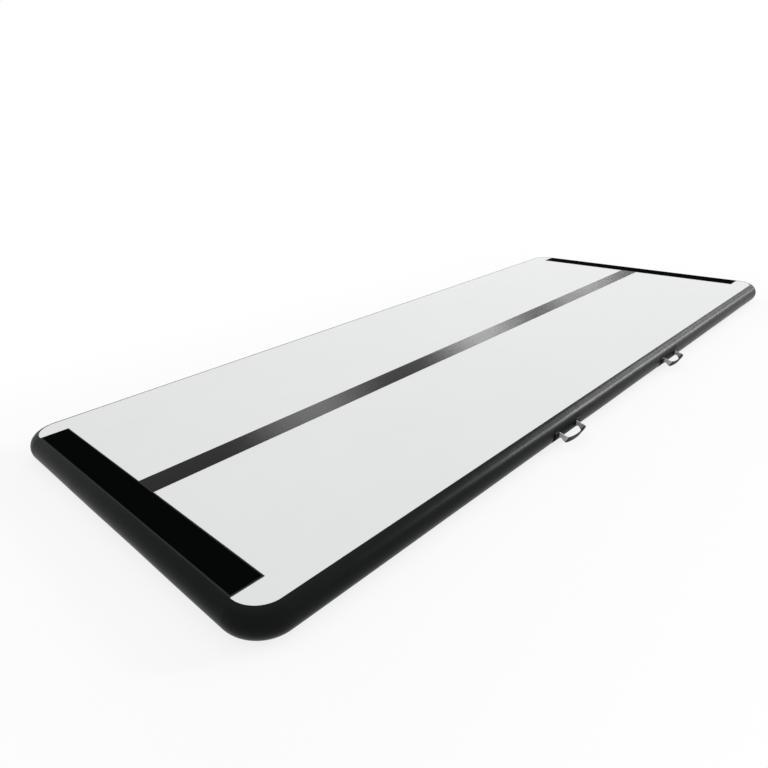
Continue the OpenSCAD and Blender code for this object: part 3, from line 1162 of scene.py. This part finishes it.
    def build(self) -> None:
        """Build and dress the chamber."""
        parts = {
            "right_side_wall": (self._side(Side.RIGHT), Finishes.wall, "wall_black"),
            "left_side_wall": (self._side(Side.LEFT), Finishes.wall, "wall_black"),
            "near_end_wall": (self._end(End.NEAR), Finishes.wall, "wall_black"),
            "far_end_wall": (self._end(End.FAR), Finishes.wall, "wall_black"),
            "top_deck": (self._face(self.thickness, True), Finishes.deck, "deck_white"),
            "bottom_deck": (self._face(self.proud, False), Finishes.base, "base_grey"),
        }
        for node, (bm, finish, slot) in parts.items():
            sharp = 5.0 if node.endswith("deck") else 50.0
            piece = make_piece(f"{node}_cloth", bm, finish, sharp)
            thicken(piece, self.cloth)
            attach(piece, "mat")
            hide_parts(node)
            self._cut(node)
            LOG.info("piece %s: %s", piece.name, finish.name)
        dress_node("inner_side_band", Finishes.band)
        dress_node("drop_threads", Finishes.yarn)


@dataclass
class DeckTrim:
    """Joining strips across both ends and the stripe down the middle."""

    deck_x: float = 1.96
    deck_z: float = 0.1
    strip: float = 0.11
    strip_half: float = 0.618
    margin: float = 0.005
    backing: float = 0.0008
    backing_edge: float = 0.0003
    pile: float = 0.0012
    pile_edge: float = 0.0005
    hooks: float = 0.001
    hooks_edge: float = 0.0004
    stripe: float = 0.097
    stripe_cloth: float = 0.0006
    stripe_edge: float = 0.00025

    def _tape(self, end: End) -> BMesh:
        """Backing tape of a joining strip."""
        return self._layer(end, 0.0, 0.0, self.backing, self.backing_edge)

    def _pad(self, end: End, height: float, edge: float) -> BMesh:
        """Pile or hooks on the backing tape."""
        return self._layer(end, self.margin, self.backing, self.backing + height, edge)

    def _layer(self, end: End, inset: float, low: float, high: float, edge: float) -> BMesh:
        """Flat layer of a joining strip.

        Args:
            end: End that the strip lies at.
            inset: How far the layer stops short of the tape's edges.
            low: Height of its underside above the deck.
            high: Height of its top above the deck.
            edge: Radius of its edges.

        Returns:
            The layer's mesh.
        """
        bm = bmesh.new()
        outer, inner = self.deck_x - inset, self.deck_x - self.strip + inset
        xs = sorted((end.value * outer, end.value * inner))
        slab(
            bm,
            Vector((xs[0], -self.strip_half + inset, self.deck_z + low)),
            Vector((xs[1], self.strip_half - inset, self.deck_z + high)),
            edge,
        )
        return bm

    def build(self) -> None:
        """Build and dress the trim."""
        stripe = bmesh.new()
        half = self.deck_x - self.strip
        slab(
            stripe,
            Vector((-half, -self.stripe / 2, self.deck_z)),
            Vector((half, self.stripe / 2, self.deck_z + self.stripe_cloth)),
            self.stripe_edge,
        )
        pile = self._pad(End.NEAR, self.pile, self.pile_edge)
        hooks = self._pad(End.FAR, self.hooks, self.hooks_edge)
        parts = {
            "near_join_backing": (self._tape(End.NEAR), Finishes.tape, "join_tape"),
            "far_join_backing": (self._tape(End.FAR), Finishes.tape, "join_tape"),
            "near_join_pile": (pile, Finishes.pile, "join_pile"),
            "far_join_hooks": (hooks, Finishes.hooks, "join_hooks"),
            "centre_stripe": (stripe, Finishes.stripe, "stripe_grey"),
        }
        for node, (bm, finish, slot) in parts.items():
            piece = make_piece(f"{node}_cloth", bm, finish, 20.0)
            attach(piece, "mat")
            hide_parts(node)
            LOG.info("piece %s: %s", piece.name, finish.name)


@dataclass
class CarryHandle:
    """Webbing handle with its patch and stitching."""

    chamber: AirChamber
    side: Side
    end: End
    spacing: float = 1.0
    height: float = 0.046
    length: float = 0.135
    reach: float = 0.045
    width: float = 0.025
    thick: float = 0.0034
    edge: float = 0.0011
    bend: float = 0.012
    foot: float = 0.024
    foot_bend: float = 0.0045
    foot_gap: float = 0.0003
    hug_full: float = 0.003
    hug_none: float = 0.010
    patch_half: float = 0.098
    patch_low: float = 0.016
    patch_high: float = 0.076
    patch_corner: float = 0.014
    patch_cloth: float = 0.0012
    patch_gap: float = 0.0002
    patch_rows: int = 36
    patch_columns: int = 120
    # Bend line: its distance from the wall's crest, how far the strap hangs from it, and how
    # narrow the legs are drawn there.
    bend_line: float = 0.0152
    hang: float = 29.0
    hang_from: float = -0.011
    hang_full: float = 0.006
    waist: float = 0.72
    waist_half: float = 0.003
    waist_end: float = 0.013
    bow: float = 11.0
    sleeve_wall: float = 0.0015
    sleeve_edge: float = 0.0022
    sleeve_turn: float = 40.0
    # Lift of the patch over a sewn foot, and the stitches round the foot.
    lift_slack: float = 0.0006
    lift_gap: float = 0.0005
    lift_rise: float = 0.003
    lift_fall: float = 0.006
    lift_side: float = 0.005
    stitch: Scale = (0.0026, 0.0007, 0.0008)
    stitch_pitch: float = 0.0034
    stitch_rise: float = 0.0003
    seam_half: float = 0.0095
    seam_first: float = 0.0035
    seam_last: float = 0.003

    @property
    def name(self) -> str:
        """Name of the handle's body, without its last word."""
        return f"{self.side.name.lower()}_{self.end.name.lower()}"

    @property
    def leg(self) -> float:
        """Half the distance between the middles of the strap's legs."""
        return (self.length - self.thick) / 2

    @property
    def turn(self) -> float:
        """Radius of the strap's middle where a leg bends into the grip."""
        return self.bend - self.thick / 2

    @property
    def hinge(self) -> float:
        """Distance of the bend line from the middle of the mat."""
        return self.chamber.width / 2 + self.bend_line

    def wall(self, height: float) -> float:
        """Distance of the wall's surface from the middle of the mat, at a height."""
        return self.chamber.rim.y + self.chamber.stand_out(height)

    def _settle(self, bm: BMesh) -> None:
        """Move a mesh from its place on the left, midway along, to the handle's own place.

        Args:
            bm: Mesh to move.
        """
        bmesh.ops.scale(bm, vec=(1, self.side.value, 1), verts=bm.verts[:])
        bmesh.ops.translate(bm, vec=(self.end.value * self.spacing / 2, 0, 0), verts=bm.verts[:])
        bmesh.ops.recalc_face_normals(bm, faces=bm.faces[:])

    def _hug(self, bm: BMesh, low: float, high: float) -> None:
        """Let what lies close to the wall follow its curve.

        Args:
            bm: Mesh to shape.
            low: Distance out at which a point follows the wall fully.
            high: Distance out at which it no longer does.
        """
        level = self.wall(self.height)
        for vert in bm.verts:
            share = 1 - step(vert.co.y, low, high)
            vert.co.y += share * (self.wall(vert.co.z) - level)

    def _bow_radius(self) -> float:
        """Radius of the bowed middle of the grip."""
        return (self.leg - self.turn) / math.sin(math.radians(self.bow)) + self.turn

    def _leg_end(self) -> float:
        """Distance from the middle of the mat at which a leg starts to bend into the grip.

        Returns:
            Distance in metres.
        """
        top = self.chamber.width / 2 + self.reach - self.thick / 2
        flat = math.cos(math.radians(self.bow))
        return top - self._bow_radius() * (1 - flat) - self.turn * flat

    def _strap(self) -> BMesh:
        """Strap from one sewn foot round the grip to the other.

        Returns:
            The strap's mesh.
        """
        ribbon = Ribbon(self.width, self.thick, self.edge)
        level = self.wall(self.height) + self.thick / 2 + self.foot_gap
        start = Vector((-self.leg - self.foot_bend - self.foot, level, self.height))
        ribbon.start(start, Vector((1, 0, 0)), Vector((0, 0, 1)))
        out = self._leg_end() - level - self.foot_bend
        ribbon.straight(self.foot, rings=5)
        ribbon.bend(Turn.LEFT, 90, self.foot_bend, rings=6)
        ribbon.straight(out, rings=12)
        ribbon.bend(Turn.RIGHT, 90 - self.bow, self.turn, rings=12)
        ribbon.bend(Turn.RIGHT, 2 * self.bow, self._bow_radius(), rings=18)
        ribbon.bend(Turn.RIGHT, 90 - self.bow, self.turn, rings=12)
        ribbon.straight(out, rings=12)
        ribbon.bend(Turn.LEFT, 90, self.foot_bend, rings=6)
        ribbon.straight(self.foot, rings=5)
        self._hug(ribbon.bm, level + self.hug_full, level + self.hug_none)
        self._gather(ribbon.bm)
        self._let_hang(ribbon.bm)
        self._settle(ribbon.bm)
        return ribbon.bm

    def _sleeve(self) -> BMesh:
        """Dark cover round the strap's middle; its dark colour is painted shade on the grip.

        Returns:
            The sleeve's mesh.
        """
        more = 2 * self.sleeve_wall
        ribbon = Ribbon(self.width + more, self.thick + more, self.sleeve_edge)
        first = math.radians(90 - self.bow - self.sleeve_turn)
        x = -self.leg + self.turn * (1 - math.cos(first))
        y = self._leg_end() + self.turn * math.sin(first)
        heading = Vector((math.sin(first), math.cos(first), 0))
        ribbon.start(Vector((x, y, self.height)), heading, Vector((0, 0, 1)))
        ribbon.bend(Turn.RIGHT, self.sleeve_turn, self.turn, rings=9)
        ribbon.bend(Turn.RIGHT, 2 * self.bow, self._bow_radius(), rings=18)
        ribbon.bend(Turn.RIGHT, self.sleeve_turn, self.turn, rings=9)
        self._let_hang(ribbon.bm)
        self._settle(ribbon.bm)
        return ribbon.bm

    def _gather(self, bm: BMesh) -> None:
        """Draw the strap's legs in where they bend on edge.

        Args:
            bm: Mesh to shape.
        """
        for vert in bm.verts:
            share = 1 - step(abs(vert.co.y - self.hinge), self.waist_half, self.waist_end)
            vert.co.z -= (vert.co.z - self.height) * (1 - self.waist) * share

    def _let_hang(self, bm: BMesh) -> None:
        """Let what stands out past the bend line hang from it.

        Args:
            bm: Mesh to shape.
        """
        line = self.hinge
        for vert in bm.verts:
            share = step(vert.co.y, line + self.hang_from, line + self.hang_full)
            angle = -math.radians(self.hang) * share
            y, z = vert.co.y - line, vert.co.z - self.height
            vert.co.y = line + y * math.cos(angle) - z * math.sin(angle)
            vert.co.z = self.height + y * math.sin(angle) + z * math.cos(angle)

    def _lift(self, x: float, z: float) -> float:
        """How far a foot of the strap lifts the patch off the wall.

        Args:
            x: Distance along the mat from the handle's middle.
            z: Height above the floor.

        Returns:
            Distance in metres.
        """
        first, last = self.leg + self.lift_gap, self.leg + self.foot_bend + self.foot
        rise = step(abs(x), first, first + self.lift_rise)
        fall = 1 - step(abs(x), last, last + self.lift_fall)
        half = self.width / 2
        across = 1 - step(abs(z - self.height), half, half + self.lift_side)
        return (self.thick + self.lift_slack) * rise * fall * across

    def _patch(self) -> BMesh:
        """Patch that follows the wall and lies over the strap's feet.

        Returns:
            The patch's mesh.
        """
        bm = bmesh.new()
        middle = self.wall(self.height)
        low, high, half = self.patch_low, self.patch_high, self.patch_half
        verts = [
            bm.verts.new((sx * half, middle, low if sz < 0 else high)) for sx, sz in CORNERS
        ]
        bm.faces.new(verts)
        bmesh.ops.bevel(
            bm, geom=verts, offset=self.patch_corner, segments=8, profile=0.5,
            affect="VERTICES", material=-1,
        )
        rows, columns = self.patch_rows, self.patch_columns
        planes = [((0, 0, low + (high - low) * i / rows), (0, 0, 1)) for i in range(1, rows)]
        planes += [((half * (2 * i / columns - 1), 0, 0), (1, 0, 0)) for i in range(1, columns)]
        for place, way in planes:
            bmesh.ops.bisect_plane(
                bm, geom=whole(bm), dist=ON_PLANE, plane_co=place, plane_no=way
            )
        for vert in bm.verts:
            lift = self._lift(vert.co.x, vert.co.z)
            vert.co.y = self.wall(vert.co.z) + self.patch_gap + lift
        made = bmesh.ops.extrude_face_region(bm, geom=bm.faces[:])["geom"]
        outer = [g for g in made if isinstance(g, BMVert)]
        bmesh.ops.translate(bm, vec=(0, self.patch_cloth, 0), verts=outer)
        self._settle(bm)
        return bm

    def _patch_cut(self) -> tuple[float, float]:
        """Flat size of the patch before it is laid round the wall's curve.

        Returns:
            Width and length in metres.
        """
        rows = 40
        rise = (self.patch_high - self.patch_low) / rows
        outs = [self.wall(self.patch_low + rise * i) for i in range(rows + 1)]
        width = sum(math.hypot(rise, b - a) for a, b in zip(outs, outs[1:]))
        return width, 2 * self.patch_half

    def _stitch(self, bm: BMesh, x: float, z: float, angle: float) -> None:
        """Add one stitch on the patch.

        Args:
            bm: Mesh to add to.
            x: Distance along the mat from the handle's middle.
            z: Height above the floor.
            angle: Lean of its row, in radians.
        """
        verts = bmesh.ops.create_icosphere(bm, subdivisions=1, radius=0.5)["verts"]
        bmesh.ops.scale(bm, vec=self.stitch, verts=verts)
        lean = Matrix.Rotation(-angle, 3, "Y")
        bmesh.ops.rotate(bm, cent=(0, 0, 0), matrix=lean, verts=verts)
        out = self.wall(z) + self._lift(x, z) + self.patch_cloth + self.stitch_rise
        bmesh.ops.translate(bm, vec=(x, out, z), verts=verts)

    def _stitches(self) -> BMesh:
        """Rows of stitches that hold the feet down: a box with a cross in it on each.

        Returns:
            Mesh of all the stitches.
        """
        bm = bmesh.new()
        root = self.leg + self.foot_bend
        low, high = root + self.seam_first, root + self.foot - self.seam_last
        half = self.seam_half
        rows = [(low, dz, high, dz) for dz in (-half, half)]
        rows += [(x, -half, x, half) for x in (low, high)]
        rows += [(low, -half, high, half), (low, half, high, -half)]
        for side in (-1, 1):
            for x0, z0, x1, z1 in rows:
                dx, dz = x1 - x0, z1 - z0
                count = max(2, round(math.hypot(dx, dz) / self.stitch_pitch))
                angle = math.atan2(dz, dx * side)
                for i in range(count):
                    t = (i + 0.5) / count
                    self._stitch(bm, side * (x0 + dx * t), self.height + z0 + dz * t, angle)
        self._settle(bm)
        return bm

    def build(self) -> None:
        """Build and dress the handle."""
        sign = self.side.value
        across = self.end.value * self.spacing / 2
        crest = self.chamber.width / 2
        strap = make_piece(f"{self.name}_handle_strap", self._strap(), Finishes.webbing, 60.0)
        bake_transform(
            strap, "mat", f"{self.name}_handle",
            start=(across, sign * (crest + 0.003), self.height),
            end=(across, sign * (crest + 0.0291), self.height - 0.0068),
        )
        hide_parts(f"{self.name}_handle_loop", f"{self.name}_handle_roots")
        # The cover round the grip takes a dark finish that is painted shade.
        sleeve_painted_shade = make_piece(f"{self.name}_handle_sleeve", self._sleeve(), Finishes.sleeve_painted_shade, 60.0)
        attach(sleeve_painted_shade, f"{self.name}_handle")
        patch = make_piece(f"{self.name}_handle_patch_cloth", self._patch(), Finishes.patch, 50.0)
        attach(patch, "mat")
        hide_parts(f"{self.name}_handle_patch")
        stitches = make_piece(
            f"{self.name}_handle_stitches", self._stitches(), Finishes.thread, 60.0
        )
        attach(stitches, "mat")
        wall = f"{self.side.name.lower()}_side_wall_cloth"
        self._patch_cut()
        for piece in (strap, sleeve_painted_shade, patch, stitches):
            LOG.info("piece %s", piece.name)


@dataclass
class PushValve:
    """Push valve on the left side, with its cap and tether."""

    centre: Vector
    flange_top: float = 0.005
    ring_low: float = 0.016
    tether_width: float = 0.006
    tether_thick: float = 0.0012
    tether_edge: float = 0.0003
    collar_inner: float = 0.0211
    collar_outer: float = 0.026
    collar_gap: float = 0.0001
    loop: float = 0.01
    root: float = 0.0257
    root_lap: float = 0.0015
    ring_lap: float = 0.0024
    spring_radius: float = 0.0044
    spring_wire: float = 0.0009
    spring_sides: int = 10
    spring_turns: int = 4
    spring_steps: int = 28
    spring_low: float = -0.0089
    spring_high: float = 0.0026
    spring_seat: float = -0.009
    push: float = 0.005

    def _tether(self) -> BMesh:
        """Collar round the neck and the strap that loops up to the cap's ring.

        Returns:
            The tether's mesh.
        """
        low, high = self.flange_top, self.ring_low + self.tether_thick
        bow = (high - low) / 2 - self.tether_thick / 2
        ribbon = Ribbon(self.tether_width, self.tether_thick, self.tether_edge, cuts=2)
        first = Vector((self.root - self.root_lap, low + self.tether_thick / 2, 0))
        ribbon.start(self.centre + first, Vector((1, 0, 0)), Vector((0, 0, 1)))
        ribbon.straight(self.loop + self.root_lap, rings=8)
        ribbon.bend(Turn.LEFT, 180, bow, rings=40)
        ribbon.straight(self.loop - self.ring_lap, rings=8)
        bm = ribbon.bm
        under, over = low + self.collar_gap, low + self.tether_thick - self.collar_gap
        corners = [
            (self.collar_inner, under),
            (self.collar_outer, under),
            (self.collar_outer, over),
            (self.collar_inner, over),
        ]
        ring = [bm.verts.new(self.centre + Vector((r, y, 0))) for r, y in corners]
        outline = [bm.edges.new(pair) for pair in zip(ring, ring[1:] + ring[:1])]
        bmesh.ops.spin(
            bm, geom=ring + outline, cent=self.centre, axis=(0, 1, 0),
            angle=2 * math.pi, steps=64, use_merge=True, use_duplicate=False,
        )
        bmesh.ops.recalc_face_normals(bm, faces=bm.faces[:])
        return bm

    def _spring(self) -> BMesh:
        """Return spring: a wire wound into an open coil between the guide's hub and the button.

        Returns:
            The spring's mesh.
        """
        bm = bmesh.new()
        half = self.spring_wire / 2
        start = self.centre + Vector((self.spring_radius, self.spring_low + half, 0))
        wire = bmesh.ops.create_circle(
            bm, cap_ends=True, radius=half, segments=self.spring_sides
        )["verts"]
        bmesh.ops.translate(bm, vec=start, verts=wire)
        steps = self.spring_steps * self.spring_turns
        rise = (self.spring_high - self.spring_low - self.spring_wire) / steps
        bmesh.ops.spin(
            bm, geom=whole(bm), cent=self.centre, axis=(0, 1, 0), dvec=(0, rise, 0),
            angle=2 * math.pi * self.spring_turns, steps=steps,
            use_merge=False, use_duplicate=False,
        )
        bmesh.ops.holes_fill(bm, edges=[edge for edge in bm.edges if edge.is_boundary])
        bmesh.ops.recalc_face_normals(bm, faces=bm.faces[:])
        return bm

    def build(self) -> None:
        """Build and dress the valve."""
        tether = make_piece("valve_tether_strap", self._tether(), Finishes.tether, 50.0)
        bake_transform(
            tether, "mat", "tether_ring",
            start=tuple(self.centre + Vector((0, self.flange_top + self.tether_thick, 0))),
            end=tuple(self.centre + Vector((0, self.ring_low, 0))),
        )
        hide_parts("valve_tether")
        LOG.info("piece %s", tether.name)
        spring = make_piece("valve_return_spring", self._spring(), Finishes.wire, 40.0)
        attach(spring, "mat")
        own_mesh(spring)
        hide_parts("valve_spring")
        LOG.info("piece %s", spring.name)
        for node in ("valve_body", "valve_nut", "valve_stem", "valve_backing_plate", "valve_cap"):
            dress_node(node, Finishes.plastic)
        for node in ("valve_gasket", "valve_diaphragm"):
            dress_node(node, Finishes.rubber)
        dress_node("valve_stem_clip", Finishes.wire)
        dress_node("valve_doubler", Finishes.band)
        dress_node("valve_cap_seal", Finishes.seal)
        dress_node("valve_tether_ring", Finishes.tether)


@dataclass(frozen=True)
class SoftBox:
    """Soft box: its place and target, how its long side lies, its size, and its power in watts."""

    name: str
    place: Vector
    target: Vector
    along: Vector
    size: tuple[float, float]
    power: float


@dataclass
class Studio:
    """Pale floor, soft light and the camera."""

    place: Vector = field(default_factory=lambda: Vector((-2.5786, -1.6710, 1.1659)))
    right: Vector = field(default_factory=lambda: Vector((0.73147, -0.68009, -0.04924)))
    ahead: Vector = field(default_factory=lambda: Vector((0.61226, 0.68686, -0.39162)))
    focal_px: float = 620.5
    frame_px: float = 768.0
    axis_px: float = 316.0
    sensor_mm: float = 36.0
    ambient: float = 0.55
    glow: float = 0.82
    fade_from: float = 0.1
    fade: float = 1.1
    floor_half: float = 30.0
    floor_drop: float = 0.0006
    mat_half: tuple[float, float] = (2.0, 0.75)
    panel_size: tuple[float, float] = (1.8, 1.5)

    def _seen(self, book: NodeBook) -> Value:
        """Whether a ray comes from the camera, a mirror or glass.

        Args:
            book: Tree to add nodes to.

        Returns:
            0 or 1.
        """
        path = book.add("ShaderNodeLightPath")
        rays = ("Is Camera Ray", "Is Glossy Ray", "Is Transmission Ray")
        camera, mirror, glass = (Value(book, path.outputs[ray]) for ray in rays)
        return (camera + mirror + glass).rise(0.0, 1.0)

    def _world(self) -> None:
        """White world that lights the object at a plain level."""
        world = bpy.data.worlds.new("studio")
        bpy.context.scene.world = world
        world.use_nodes = True
        book = NodeBook(world.node_tree)
        strength = self._seen(book) * (1.0 - self.ambient) + self.ambient
        shader = book.out(
            "ShaderNodeBackground", sockets={"Color": (1.0, 1.0, 1.0, 1.0), "Strength": strength}
        )
        book.add("ShaderNodeOutputWorld", sockets={"Surface": shader})

    def _floor(self) -> None:
        """Pale floor that keeps a soft shadow."""
        bm = bmesh.new()
        bmesh.ops.create_grid(bm, x_segments=4, y_segments=4, size=self.floor_half)
        bmesh.ops.translate(bm, vec=(0, 0, -self.floor_drop), verts=bm.verts[:])
        mesh = bpy.data.meshes.new("floor")
        bm.to_mesh(mesh)
        bm.free()
        made = bpy.data.materials.new("floor_white")
        made.use_nodes = True
        book = NodeBook(made.node_tree)
        matt = book.out("ShaderNodeBsdfDiffuse", sockets={"Color": (0.9, 0.9, 0.9, 1.0)})
        glow = book.out(
            "ShaderNodeEmission", sockets={"Color": (1.0, 1.0, 1.0, 1.0), "Strength": 1.0}
        )
        x, y, _ = book.axes(book.place())
        beyond = (x.size() - self.mat_half[0]).most(y.size() - self.mat_half[1])
        far = beyond.rise(self.fade_from, self.fade)
        share = self._seen(book) * (far * (1.0 - self.glow) + self.glow)
        mixed = book.out("ShaderNodeMixShader", sockets={0: share, 1: matt, 2: glow})
        book.add("ShaderNodeOutputMaterial", sockets={"Surface": mixed})
        mesh.materials.append(made)
        floor = bpy.data.objects.new("floor", mesh)
        bpy.context.scene.collection.objects.link(floor)

    def _lamp(self, lamp: SoftBox) -> None:
        """Add a soft box.

        Args:
            lamp: The soft box.
        """
        light = bpy.data.lights.new(lamp.name, "AREA")
        light.shape = "RECTANGLE"
        light.size, light.size_y = lamp.size
        light.energy = lamp.power
        back = (lamp.place - lamp.target).normalized()
        across = (lamp.along - back * lamp.along.dot(back)).normalized()
        turn = Matrix((across, back.cross(across), back)).transposed().to_4x4()
        box = bpy.data.objects.new(lamp.name, light)
        box.matrix_world = Matrix.Translation(lamp.place) @ turn
        bpy.context.scene.collection.objects.link(box)

    def _lamps(self) -> list[SoftBox]:
        """Soft box overhead, three that light the right wall, and a row of ceiling panels.

        Returns:
            The soft boxes.
        """
        along = Vector((1, 0, 0))
        lamps = [
            SoftBox(
                "overhead", Vector((-1.2, 0.1, 4.5)), Vector((-1.2, 0.1, 0)), along,
                (7.0, 5.0), 64.0,
            ),
            SoftBox(
                "side_box", Vector((23.0, -12.96, 9.51)), Vector((-0.4, -0.74, 0.086)),
                Vector((1.2, 0.9, -0.7)), (2.8, 2.4), 2600.0,
            ),
            SoftBox(
                "side_strip", Vector((12.0, -5.3, 3.6)), Vector((0.4, -0.74, 0.086)),
                Vector((0.3, 2.1, -1.7)), (3.2, 1.0), 125.0,
            ),
            SoftBox(
                "side_top", Vector((11.4, -2.9, 5.9)), Vector((0.2, -0.74, 0.094)),
                Vector((0, 1, 0)), (3.4, 2.4), 300.0,
            ),
        ]
        for count, (x, power) in enumerate(((3.1, 52.0), (7.7, 90.0), (11.9, 62.0))):
            place = Vector((x, 4.84, 3.2))
            below = place - Vector((0, 0, 1))
            lamps.append(SoftBox(f"panel_{count}", place, below, along, self.panel_size, power))
        return lamps

    def _camera(self) -> None:
        """Camera at the photograph's place."""
        camera = bpy.data.cameras.new("camera")
        camera.sensor_width = self.sensor_mm
        camera.lens = self.focal_px / self.frame_px * camera.sensor_width
        camera.shift_x = 0.5 - self.axis_px / self.frame_px
        camera.clip_end = 100.0
        seat = bpy.data.objects.new("camera", camera)
        up = self.right.cross(self.ahead)
        turn = Matrix((self.right, up, -self.ahead)).transposed().to_4x4()
        seat.matrix_world = Matrix.Translation(self.place) @ turn
        bpy.context.scene.collection.objects.link(seat)
        bpy.context.scene.camera = seat

    def build(self) -> None:
        """Set the stage."""
        bpy.context.scene.view_settings.view_transform = "Standard"
        self._world()
        self._floor()
        for lamp in self._lamps():
            self._lamp(lamp)
        self._camera()


def main() -> None:
    """Build every sub-assembly in order."""
    logging.basicConfig(level=logging.INFO, format="%(name)s: %(message)s")
    Studio().build()
    chamber = AirChamber()
    chamber.build()
    DeckTrim().build()
    for side in Side:
        for end in End:
            CarryHandle(chamber, side, end).build()
    PushValve(chamber.land).build()


if __name__ == "__main__":
    main()
